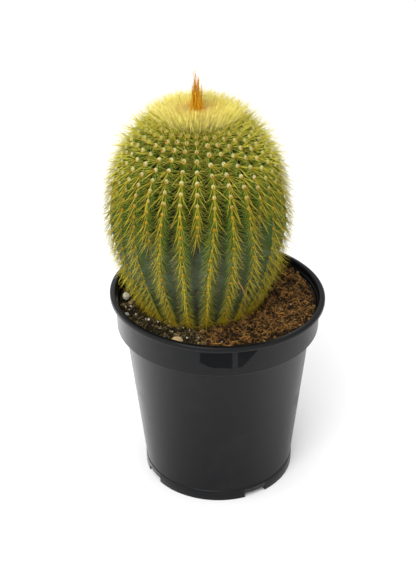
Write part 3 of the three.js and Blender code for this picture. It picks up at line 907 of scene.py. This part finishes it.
def rib_areoles(rib):
    """The areoles of one rib, from the compost up to the crown."""
    areoles = []
    travelled = AREOLE_STEP * draw(rib, 2)
    radius, z = crest_at(0)
    for i in range(1, CREST_PARTS):
        before = radius, z
        radius, z = crest_at(2 * i / CREST_PARTS)
        travelled += math.hypot(radius - before[0], z - before[1])
        step = FOOT_AREOLE_STEP + (AREOLE_STEP - FOOT_AREOLE_STEP) * eased(z, *FOOT_STEP_ENDS_Z)
        if z > GIRTH_Z:
            wide = eased(radius, *CROWN_STEP_RADII)
            step = CROWN_AREOLE_STEP + (step - CROWN_AREOLE_STEP) * wide
        grown = rib_growth(rib, z) > GROWN_SHARE
        clear = radius > CROWN_RADIUS + CROWN_MARGIN
        if travelled >= step and z > FIRST_AREOLE_Z and grown and clear:
            slope = math.atan2(z - before[1], radius - before[0])
            areoles.append(Areole(rib, radius, z, slope))
            travelled = 0
    return areoles


RIB_AREOLES = [rib_areoles(rib) for rib in range(RIBS)]
AREOLES = [areole for row in RIB_AREOLES for areole in row]


def stem_body():
    """The crest line is spun round the axis, and each column of points then goes to its place on
    a rib: the first of ten is in the groove and the sixth on the crest."""
    bm = bmesh.new()
    outline = [(0, ROOT_END_Z), *ROOT_LINE]
    outline += [crest_at(row / LOWER_ROWS) for row in range(LOWER_ROWS)]
    outline += [crest_at(1 + row / UPPER_ROWS) for row in range(UPPER_ROWS)]
    outline.append((0, APEX_Z))
    joined(bm, [(0, -radius, z) for radius, z in outline])
    steps = RIBS * RIB_STEPS
    rises = bm.verts.layers.float.new("rise")
    spin(bm, steps)
    for vert in bm.verts:
        x, y, z = vert.co
        radius = math.hypot(x, y)
        column = round(math.atan2(x, -y) / FULL_TURN * steps) % steps
        rib, phase = column // RIB_STEPS, column % RIB_STEPS / RIB_STEPS
        angles = rib_angles(round(z, 2))
        groove, crest, share = angles[rib]
        next_groove = angles[(rib + 1) % RIBS][0]
        next_groove += FULL_TURN * (next_groove < crest - 1e-6)
        if phase < 0.5:
            angle = groove + (crest - groove) * phase * 2
        else:
            angle = crest + (next_groove - crest) * (phase * 2 - 1)
        rise = share * (1 - abs(phase * 2 - 1) ** CREST_ROUNDING)
        vert[rises] = rise
        vert.co = on_plant(angle, radius - rib_depth(z, radius) * (1 - rise), z)
        outward = Vector((x, y, 0)).normalized()
        near = FAR_FROM_AREOLES
        if rise > 0.5:
            near = min((abs(areole.z - z) for areole in RIB_AREOLES[rib]), default=near)
        vert.co += AREOLE_SWELL * math.exp(-(near / SWELL_WIDTH) ** 2) * (rise - 0.5) * outward
        vert.co += SKIN_UNEVEN * noise.noise(vert.co * SKIN_PITCH) * outward
    bmesh.ops.remove_doubles(bm, verts=bm.verts[:], dist=0.02)
    bmesh.ops.dissolve_degenerate(bm, dist=0.01, edges=bm.edges[:])
    bmesh.ops.recalc_face_normals(bm, faces=bm.faces[:])
    return bm


def cactus_skin():
    material, tree, shader = new_material("cactus_skin", 0.5, 0.06)
    place = in_millimetres(tree)
    height = node(tree, "SeparateXYZ", {0: place}).outputs[2]
    crest = ramp(tree, trait(tree, "rise"), 0.25, 0.85)
    # The young grooves are near black: painted shade in the grooves of the upper part.
    young = blend(tree, crest, (0.004, 0.009, 0.001), (0.032, 0.07, 0.004))
    old = blend(tree, crest, (0.062, 0.071, 0.036), (0.045, 0.06, 0.02))
    colour = blend(tree, ramp(tree, height, 136, 178), old, young)
    bloom = times(tree, speckle(tree, 5, 4, 0.42, 0.66), ramp(tree, height, 190, 140))
    colour = blend(tree, times(tree, bloom, 0.4), colour, (0.1, 0.13, 0.085))
    cells = node(tree, "TexVoronoi", {"Vector": place, "Scale": 1.3}).outputs[0]
    dots = ramp(tree, cells, 0.1, 0.26, 1.0, 0.0)
    flecks = times(tree, dots, ramp(tree, height, 175, 145, 0.1, 0.5))
    colour = blend(tree, flecks, colour, (0.28, 0.32, 0.2))
    paint(tree, shader, colour)
    relief(tree, shader, math_node(tree, "ADD", speckle(tree, 1.1, 3, 0.0, 1.0), dots), 0.12)
    return material


stem = finished("stem_body", stem_body(), cactus_skin())
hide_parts("cactus_stem")

# ---- Areole pads ----
# Each areole is a small oval pad on the crest. A young one is cream wool round the orange roots of
# its spines. On an old one the wool has worn off and the orange-yellow roots are left.

PAD_WIDTH = 2.4
PAD_LENGTH = 2.8
PAD_HEIGHT = 1.7
PAD_WEAR = 0.4
ROOTS_BELOW_MIDDLE = 0.12


def dome():
    bm = bmesh.new()
    bmesh.ops.create_uvsphere(bm, u_segments=10, v_segments=6, radius=0.5)
    return mesh_of("dome", bm)


def from_roots(point):
    return math.hypot(point.x, point.y + ROOTS_BELOW_MIDDLE) * 2


def up_the_rib(point):
    return point.y + 0.5


def pads():
    shape = dome()
    rng = random.Random(21)
    for areole in AREOLES:
        fresh = (1 - PAD_WEAR * areole.traits["age"]) * rng.uniform(0.9, 1.1)
        turn = Matrix((areole.across, -areole.down, areole.out)).transposed().to_4x4()
        size = Matrix.Diagonal((PAD_WIDTH * fresh, PAD_LENGTH * fresh, PAD_HEIGHT * fresh, 1))
        place = Matrix.Translation(areole.point + 0.1 * areole.out) @ turn @ size
        yield shape, place, {**areole.traits, "tone": rng.random()}


def pad_material():
    material, tree, shader = new_material("areole_wool", 0.95, 0.08)
    fluff = speckle(tree, 0.25, 3, 0.3, 0.7)
    wool = blend(tree, fluff, (0.84, 0.72, 0.3), (1, 0.94, 0.56))
    worn = times(tree, trait(tree, "age"), 0.3)
    # The lower side of each pad is a darker orange: partly the orange wool there and partly
    # painted shade under the dome.
    under = ramp(tree, math_node(tree, "SUBTRACT", trait(tree, "upward"), worn), 0.42, 0.12)
    wool = blend(tree, times(tree, under, 0.92), wool, (0.76, 0.4, 0.03))
    wool = blend(tree, ramp(tree, trait(tree, "age"), 0.0, 0.6), wool, (0.6, 0.33, 0.022))
    roots = blend(tree, trait(tree, "tone"), (0.48, 0.09, 0.01), (0.7, 0.28, 0.02))
    middle = ramp(tree, trait(tree, "from_roots"), 0.48, 0.28)
    paint(tree, shader, blend(tree, middle, wool, roots))
    relief(tree, shader, fluff, 0.3)
    return material


scattered("areole_pads", pads(), pad_material(), "golden_spine", from_roots=from_roots,
          upward=up_the_rib)

# ---- Spines ----
# From every areole thin pale radial spines comb sideways and down over the grooves, finer hairs
# stand between them, and four longer golden central spines stand out. Near the compost they are
# old, dense and mustard brown, and stand off like a brush. Two dry fibres are caught in front.

RADIAL_THICKNESS = 0.175
RADIAL_LENGTH = 8.2
HAIR_THICKNESS = 0.14
CENTRAL_THICKNESS = 0.175
# How far each pair of radial spines turns from straight down the rib, and its share of the length.
RADIAL_PAIRS = ((18, 0.9), (30, 1), (42, 1.03), (54, 1.02), (66, 0.96), (78, 0.88), (92, 0.76))
RADIAL_LEAN = 60
RADIAL_DROOP = -0.8
ROOT_LIFT = 0.35
ROOT_SPREAD = 0.9
ROW_SPREAD = 1.3
ROW_MIDDLE = 0.4
# Length, lean below the common fall, and turn from straight down of each central spine.
CENTRALS = ((11, 8, 0), (10, 0, 25), (10, 0, -25), (8.5, -16, 0))
CROWDING = 0.14
# Heights between which a change happens, in this order: combs of radial spines turn into a brush,
# and get crowded; central spines reach their full length, grow longer on the shoulder and stop
# doing so; there are more hairs; and central spines rise at the crown.
BRUSH_Z = (170, 138)
CROWDED_Z = (165, 215)
FULL_LENGTH_Z = (112, 156)
SHOULDER_Z = (178, 192)
SHOULDER_END_Z = (202, 212)
HAIRY_Z = (178, 198)
RISING_Z = (191, 214)
HAIRS = 4
BRUSH_HAIRS = 4
LOW_HAIRS = 6
SHOULDER_HAIRS = 6
CROWN_HAIRS = 5
FOOT_LENGTH = 0.52
CENTRAL_FALL = 36
CROWN_CENTRAL_RISE = 48
SHOULDER_GROWTH = 0.25
REACH_MARGIN = 0.4
LEFT_REACH = (cad_box[0][0] - POT_AXIS_X) / MM + REACH_MARGIN
BACK_REACH = cad_box[1][1] / MM - REACH_MARGIN


def bent(share):
    return lambda height: (share * height * height, 0)


def aimed(areole, lean, side):
    """A direction by its lean from the surface's normal and its turn from straight down."""
    flat = areole.down * math.cos(side) + areole.across * math.sin(side)
    return areole.out * math.cos(lean) + flat * math.sin(lean)


def central_lean(areole):
    """Central spines fall about as steeply on the whole plant, and rise only at the crown."""
    normal = math.degrees(math.asin(max(-1, min(1, areole.out.z))))
    young = eased(areole.z, *RISING_Z)
    return normal + CENTRAL_FALL - (CENTRAL_FALL + CROWN_CENTRAL_RISE) * young


def within_reach(root, direction, length):
    """Spines on the far left and at the back end where the solid's own needles end."""
    if root.x + direction.x * length < LEFT_REACH:
        length = (LEFT_REACH - root.x) / direction.x
    if root.y + direction.y * length > BACK_REACH:
        length = (BACK_REACH - root.y) / direction.y
    return length


def spine(areole, rng, shapes, degrees, length, droop, row=0):
    """One spine, by its lean and turn in degrees and its length. The roots of a comb stand in a
    row down the rib."""
    lean, side = (math.radians(value) for value in degrees)
    direction = aimed(areole, lean, side)
    flat = direction - areole.out * math.cos(lean)
    root = areole.point + ROOT_LIFT * areole.out + ROOT_SPREAD * flat
    root += row * (math.cos(side) - ROW_MIDDLE) * areole.down
    towards = areole.down * droop - areole.out
    place = standing(root, direction, towards, within_reach(root, direction, length))
    return rng.choice(shapes), place, {**areole.traits, "tone": rng.random()}


def brush_share(areole):
    """0 where the radial spines lie like combs, 1 low down, where they stand like a brush."""
    return eased(areole.z, *BRUSH_Z)


def radial_spines(areoles, rng):
    bends = 0.02, 0.06, 0.1, 0.14
    shapes = [strand(RADIAL_THICKNESS / RADIAL_LENGTH, 2, bent(share)) for share in bends]
    for areole in areoles:
        brush = brush_share(areole)
        shrink = (1 - 0.2 * brush) * (1 - CROWDING * eased(areole.z, *CROWDED_Z))
        for turn, share in RADIAL_PAIRS:
            for side in (-turn, turn):
                lean = RADIAL_LEAN - 6 * brush + rng.uniform(-5, 5) * (1 + brush)
                length = RADIAL_LENGTH * share * shrink * rng.uniform(0.85, 1.1)
                degrees = lean, side + rng.uniform(-5, 5) * (1 + brush)
                row = ROW_SPREAD * (1 - brush)
                yield spine(areole, rng, shapes, degrees, length, RADIAL_DROOP, row)


def hairs(areoles, rng):
    """Finer hairs, more of them at the foot, on the shoulder and at the crown's edge."""
    shapes = [strand(HAIR_THICKNESS / 5.5, 2, bent(share)) for share in (-0.08, 0.05, 0.15)]
    for areole in areoles:
        crown, brush = areole.traits["crown"], brush_share(areole)
        shoulder = eased(areole.z, *HAIRY_Z)
        count = HAIRS + BRUSH_HAIRS * brush + LOW_HAIRS * areole.traits["low"]
        count += SHOULDER_HAIRS * shoulder + CROWN_HAIRS * crown
        for _ in range(round(count)):
            lean = rng.uniform(8 + 30 * brush, 50 + 30 * brush)
            side = rng.uniform(-1, 1) * (125 + 55 * crown)
            length = rng.uniform(3.4, 6.2 + 3.6 * shoulder)
            yield spine(areole, rng, shapes, (lean, side), length, 1)


def central_spines(areoles, rng):
    bends = -0.04, 0.02, 0.06, 0.12
    shapes = [strand(CENTRAL_THICKNESS / 9, 3, bent(share)) for share in bends]
    for areole in areoles:
        lean = central_lean(areole)
        over_shoulder = 1 - 0.9 * eased(areole.z, *SHOULDER_END_Z)
        short = FOOT_LENGTH + 0.48 * eased(areole.z, *FULL_LENGTH_Z)
        short += SHOULDER_GROWTH * eased(areole.z, *SHOULDER_Z) * over_shoulder
        for length, lower, turn in CENTRALS:
            degrees = lean + lower + rng.uniform(-10, 10), turn + rng.uniform(-14, 14)
            size = length * short * rng.uniform(0.82, 1.12)
            yield spine(areole, rng, shapes, degrees, size, 1)


def spine_tint_group():
    """A spine's colour from its root to its tip, worn where the plant is oldest."""
    labels = "Root", "Middle", "Tip", "Old", "Worn"
    inputs = {label: ("Color", (1, 1, 1, 1)) for label in labels}
    inputs["Root Share"] = ("Float", 0.22)
    group, given, colour = new_group("spine_tint", inputs, "Color", "Color")
    along, tone = trait(group, "along"), trait(group, "tone")
    from_root = ramp(group, along, 0.0, given["Root Share"])
    tint = blend(group, from_root, given["Root"], given["Middle"])
    tint = blend(group, ramp(group, along, 0.45, 1.0), tint, given["Tip"])
    tint = blend(group, times(group, tone, 0.3), tint, given["Root"])
    tint = blend(group, ramp(group, trait(group, "age"), 0.0, 0.27, 0.0, 0.85), tint, given["Old"])
    worn = times(group, trait(group, "low"), 0.85)
    group.links.new(blend(group, worn, tint, given["Worn"]), colour)
    return group


SPINE_TINT = spine_tint_group()


def spine_tint(tree, **colours):
    given = {label.replace("_", " ").title(): value for label, value in colours.items()}
    return node(tree, "Group", given, node_tree=SPINE_TINT).outputs[0]


def spine_material(name, **colours):
    material, tree, shader = new_material(name, 0.5, 0.08)
    paint(tree, shader, spine_tint(tree, **colours))
    return material


PALE = spine_material(
    "pale_spine", root=(0.36, 0.31, 0.02), middle=(0.54, 0.51, 0.05),
    tip=(0.84, 0.82, 0.19), old=(0.25, 0.24, 0.03), worn=(0.46, 0.33, 0.012))
GOLDEN = spine_material(
    "golden_spine", root=(0.62, 0.4, 0.02), middle=(0.76, 0.66, 0.08),
    tip=(0.88, 0.81, 0.18), old=(0.62, 0.5, 0.035), worn=(0.6, 0.4, 0.012))

upper = [areole for areole in AREOLES if areole.z > GIRTH_Z]
lower = [areole for areole in AREOLES if areole.z <= GIRTH_Z]
spine_rng = random.Random(22)
scattered("upper_radial_spines", radial_spines(upper, spine_rng), PALE, "golden_spine")
scattered("lower_radial_spines", radial_spines(lower, spine_rng), PALE, "golden_spine")
scattered("spine_hairs", hairs(AREOLES, spine_rng), PALE, "golden_spine")
scattered("central_spines", central_spines(AREOLES, spine_rng), GOLDEN, "golden_spine")

# Two dry fibres lie over the tips of the spines. Each has its top and its lower end, as degrees
# round the plant and a height, its width, how far it bows sideways as a share of its length, and
# its paleness.
DRY_FIBRES = (
    ((24.7, 143.4), (37, 114.5), 0.85, 0.09, 0),
    ((50.6, 125.1), (56.8, 113.5), 0.65, 0.02, 1),
)
DRY_FIBRE_OFF_CREST = 3.4


def bowed(share):
    return lambda height: (share * math.sin(math.pi * height ** 0.8),
                           0.3 * share * math.sin(5 * height))


def dry_fibres():
    for top, end, width, bow, pale in DRY_FIBRES:
        root, tip = (
            on_plant(math.radians(degrees),
                     crest_at((z - FOOT_Z) / (GIRTH_Z - FOOT_Z))[0] + DRY_FIBRE_OFF_CREST, z)
            for degrees, z in (top, end)
        )
        length = (tip - root).length
        shape = strand(width / length, 11, bowed(bow))
        yield shape, standing(root, tip - root, (1, 0, 0), length), {"pale": pale}


def dry_fibre_material():
    material, tree, shader = new_material("dry_fibre", 0.8, 0.15)
    colour = blend(tree, trait(tree, "pale"), (0.38, 0.2, 0.065), (0.55, 0.37, 0.13))
    patch = speckle(tree, 1.2, 3, 0.4, 0.7)
    colour = blend(tree, times(tree, patch, 0.5), colour, (0.2, 0.085, 0.025))
    paint(tree, shader, colour)
    return material


scattered("dry_fibres", dry_fibres(), dry_fibre_material(), "golden_spine")

# ---- Crown ----
# The growing tip: a bed of cream felt, out of which new golden bristles stand close together. They
# are short, upright and orange in the middle, and lean out over the first areoles at the edge.

CROWN_FELT = 2.2
CROWN_BRISTLES = 2800
CROWN_EDGE = 20.6
CROWN_BRISTLE = 9.6
CROWN_BRISTLE_MIDDLE = 0.12
CROWN_BRISTLE_BACK = 0.8
LONG_BRISTLES = 0.09
FAN_OUTER = 27
FAN_SIDE = 19
FAN_SPREAD = 7
BRISTLE_THICKNESS = 0.033
FELT_MARGIN = 2
FELT_DEPTH = 2.5
FELT_RINGS = 12
GOLDEN_TURN = math.pi * (3 - math.sqrt(5))


def crown_felt():
    outline = []
    for step in range(FELT_RINGS + 1):
        radius = (CROWN_RADIUS + FELT_MARGIN) * step / FELT_RINGS
        thickness = CROWN_FELT * (0.6 - 0.8 * (step / FELT_RINGS) ** 3)
        outline.append((radius, top_z(radius) + thickness, 0))
    for radius in (CROWN_RADIUS, CROWN_RADIUS / 2):
        outline.append((radius - 1, top_z(radius) - FELT_DEPTH, 0))
    outline.append((0, outline[-1][1], 0))
    bm = turned(outline, 90)
    for vert in bm.verts:
        vert.co += Vector((PLANT_X, PLANT_Y, 0.5 * noise.noise(vert.co * 0.6)))
    return bm


def felt_material():
    material, tree, shader = new_material("crown_felt", 0.95, 0.08)
    fluff = speckle(tree, 0.35, 4, 0.35, 0.65)
    colour = blend(tree, fluff, (0.6, 0.45, 0.12), (0.93, 0.84, 0.45))
    paint(tree, shader, colour)
    relief(tree, shader, fluff, 0.5)
    return material


def crown_bristles():
    """They get longer from the middle to the old edge, and thin out between the first areoles."""
    rng = random.Random(24)
    shapes = [strand(BRISTLE_THICKNESS, 3, bent(share)) for share in (-0.05, 0, 0.05, 0.1)]
    for i in range(CROWN_BRISTLES):
        radius = CROWN_EDGE * math.sqrt((i + 0.5) / CROWN_BRISTLES)
        angle = i * GOLDEN_TURN
        outward = Vector((math.sin(angle), -math.cos(angle), 0))
        thinned = 0.3 + 0.5 * abs(outward.x)
        if rng.random() < thinned * eased(radius, CROWN_RADIUS, CROWN_EDGE):
            continue
        lean = math.radians((FAN_OUTER + FAN_SIDE * abs(outward.x)) * radius / CROWN_EDGE
                            + rng.uniform(-FAN_SPREAD, FAN_SPREAD))
        direction = Vector((0, 0, math.cos(lean))) + outward * math.sin(lean)
        direction += Vector((rng.uniform(-0.1, 0.1), rng.uniform(-0.1, 0.1), 0))
        growth = min(1, radius / CROWN_RADIUS) ** 1.5
        grown = CROWN_BRISTLE_MIDDLE + (1 - CROWN_BRISTLE_MIDDLE) * growth
        facing = CROWN_BRISTLE_BACK + (1 - CROWN_BRISTLE_BACK) * eased(outward.y, 0.5, -0.5)
        length = CROWN_BRISTLE * grown * facing * rng.uniform(0.74, 1.1)
        length *= 1.3 if rng.random() < LONG_BRISTLES else 1
        root = on_plant(angle, radius, top_z(radius) + 0.4)
        place = standing(root, direction, outward, length + 1)
        inner = 1 - radius / CROWN_EDGE
        yield rng.choice(shapes), place, {"tone": rng.random(), "inner": inner}


def crown_material():
    material, tree, shader = new_material("crown_bristle", 0.5, 0.15)
    shader.inputs["Sheen Weight"].default_value = 0.4
    shader.inputs["Sheen Tint"].default_value = (1, 0.93, 0.55, 1)
    tint = spine_tint(tree, root=(0.97, 0.93, 0.52), middle=(0.96, 0.85, 0.17),
                      tip=(0.9, 0.79, 0.16), root_share=0.5)
    shade = ramp(tree, trait(tree, "tone"), 0.35, 0.0)
    tint = blend(tree, times(tree, shade, 0.7), tint, (0.68, 0.48, 0.04))
    warm = times(tree, ramp(tree, trait(tree, "inner"), 0.32, 0.75),
                 ramp(tree, trait(tree, "tone"), 0.5, 0.8, 0.15, 1.0))
    tint = blend(tree, warm, tint, (0.8, 0.42, 0.014))
    paint(tree, shader, tint)
    return material


finished("crown_felt", crown_felt(), felt_material())
crown = scattered("crown_bristles", crown_bristles(), crown_material(), "golden_spine")
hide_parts("crown_spines")

# ---- Tuft ----
# Long orange-brown bristles in the middle of the crown. They stand together like a flame and part
# into a few strands. The strand near the middle is the longest, and shorter bristles lean on them.

TUFT_BRISTLES = 190
TUFT_RADIUS = 3.2
TUFT_ROOT_LIFT = 0.5
TUFT_THICKNESS = 0.022
TUFT_TIP_Z = 243.4
# Where each strand ends: to the right of the plant's axis, behind it, and its height.
TUFT_STRANDS = ((-0.5, 0.2, TUFT_TIP_Z), (1.1, -0.3, 240), (2.9, 0.5, 237), (-1.7, -0.5, 235))
SKIRT_BRISTLES = 70
SKIRT_RADIUS = 10
SKIRT_SQUEEZE = Matrix.Diagonal((0.6, 1, 1))
SKIRT_FORWARD = Vector((0, -4, 0))
SKIRT_TIP_Z = 235


def waved(share):
    return lambda height: (share * math.sin(height * 5), share * 0.7 * (math.cos(height * 4) - 1))


def tuft_bristles():
    rng = random.Random(25)
    shapes = [strand(TUFT_THICKNESS, 5, waved(share), 0.3) for share in (-0.02, 0.012, 0.028)]
    for i in range(TUFT_BRISTLES):
        radius = TUFT_RADIUS * math.sqrt(i / TUFT_BRISTLES)
        root = on_plant(i * GOLDEN_TURN, radius, top_z(0) + TUFT_ROOT_LIFT)
        aside = root.x - PLANT_X
        right, behind, end_z = min(
            TUFT_STRANDS, key=lambda end: abs(end[0] - aside) + rng.uniform(0, 3))
        end = Vector((PLANT_X + right, PLANT_Y + behind, end_z)) + 0.35 * Vector(
            (rng.uniform(-1, 1), rng.uniform(-1, 1), -1))
        length = (end - root).length * rng.uniform(0.42, 1) ** 1.3
        place = standing(root, end - root, (1, rng.uniform(-1, 1), 0), length)
        yield rng.choice(shapes), place, {"tone": rng.random()}
    axis = on_plant(0, 0, 0)
    for i in range(SKIRT_BRISTLES):
        radius = TUFT_RADIUS + (SKIRT_RADIUS - TUFT_RADIUS) * rng.random() ** 1.3
        root = on_plant(i * GOLDEN_TURN, radius, top_z(radius) + TUFT_ROOT_LIFT)
        root = axis + SKIRT_SQUEEZE @ (root - axis) + SKIRT_FORWARD
        end = Vector((PLANT_X + rng.uniform(-1.5, 1.8), PLANT_Y + rng.uniform(-1, 1), SKIRT_TIP_Z))
        length = (end - root).length * rng.uniform(0.4, 0.8)
        place = standing(root, end - root, (1, rng.uniform(-1, 1), 0), length)
        yield rng.choice(shapes), place, {"tone": rng.uniform(0.4, 1)}
    root = on_plant(0, 0, top_z(0) + TUFT_ROOT_LIFT)
    longest = on_plant(0, 0, TUFT_TIP_Z - 0.1) - root
    place = standing(root, longest, (1, 0, 0), longest.length)
    yield shapes[1], place, {"tone": 0.5}


def tuft_material():
    material, tree, shader = new_material("orange_bristle", 0.5, 0.15)
    tint = spine_tint(tree, root=(0.8, 0.44, 0.012), middle=(0.68, 0.29, 0.004),
                      tip=(0.72, 0.37, 0.02), root_share=0.4)
    shade = ramp(tree, trait(tree, "tone"), 0.5, 0.0)
    tint = blend(tree, times(tree, shade, 0.8), tint, (0.34, 0.1, 0.002))
    paint(tree, shader, tint)
    return material


tuft = scattered("tuft_bristles", tuft_bristles(), tuft_material(), "orange_bristle")
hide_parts("crown_tuft")

# ---- Floor, light and camera ----
# A plain pale floor, 12 m across, under an even white sky and three soft boxes. The camera looks
# at the front from about thirty degrees above.

FLOOR_RADIUS = 6

bm = bmesh.new()
bmesh.ops.create_circle(bm, cap_ends=True, segments=96, radius=FLOOR_RADIUS)
floor = placed("floor", mesh_of("floor", bm))
material, _, shader = new_material("floor", 0.9, 0.0)
shader.inputs["Base Color"].default_value = (0.9, 0.9, 0.9, 1)
floor.data.materials.append(material)

world = bpy.data.worlds.new("studio")
bpy.context.scene.world = world
world.use_nodes = True
sky = world.node_tree.nodes["Background"].inputs
sky["Color"].default_value = (1, 1, 1, 1)
sky["Strength"].default_value = 1.0

LIGHTS_AIM = Vector((0, 0, 0.12))


def softbox(name, place, size, power):
    light = bpy.data.lights.new(name, "AREA")
    light.size = size
    light.energy = power
    lamp = placed(name, light)
    lamp.location = place
    lamp.rotation_mode = "QUATERNION"
    lamp.rotation_quaternion = (LIGHTS_AIM - Vector(place)).to_track_quat("-Z", "Y")


softbox("overhead", (-0.2, -0.4, 1.8), 1.6, 5)
softbox("front", (-0.6, -1.5, 1.7), 1.1, 28)
softbox("left", (-1.5, -0.3, 0.7), 1.2, 3)

bpy.context.scene.view_settings.view_transform = "Standard"

CAMERA_PLACE = Vector((-5.279, -577.198, 455.016)) * MM + Vector((POT_AXIS_X, 0, 0))
CAMERA_DOWN = 30.192
CAMERA_ROLL = -0.646
PICTURE_LONG_SIDE = 567
FOCAL_PIXELS = 1200
SENSOR_WIDTH = 36

camera_data = bpy.data.cameras.new("camera")
camera_data.sensor_width = SENSOR_WIDTH
camera_data.lens = FOCAL_PIXELS / PICTURE_LONG_SIDE * SENSOR_WIDTH
camera = placed("camera", camera_data)
camera.matrix_world = (Matrix.Translation(CAMERA_PLACE)
                       @ Matrix.Rotation(math.radians(90 - CAMERA_DOWN), 4, "X")
                       @ Matrix.Rotation(math.radians(CAMERA_ROLL), 4, "Z"))
bpy.context.scene.camera = camera
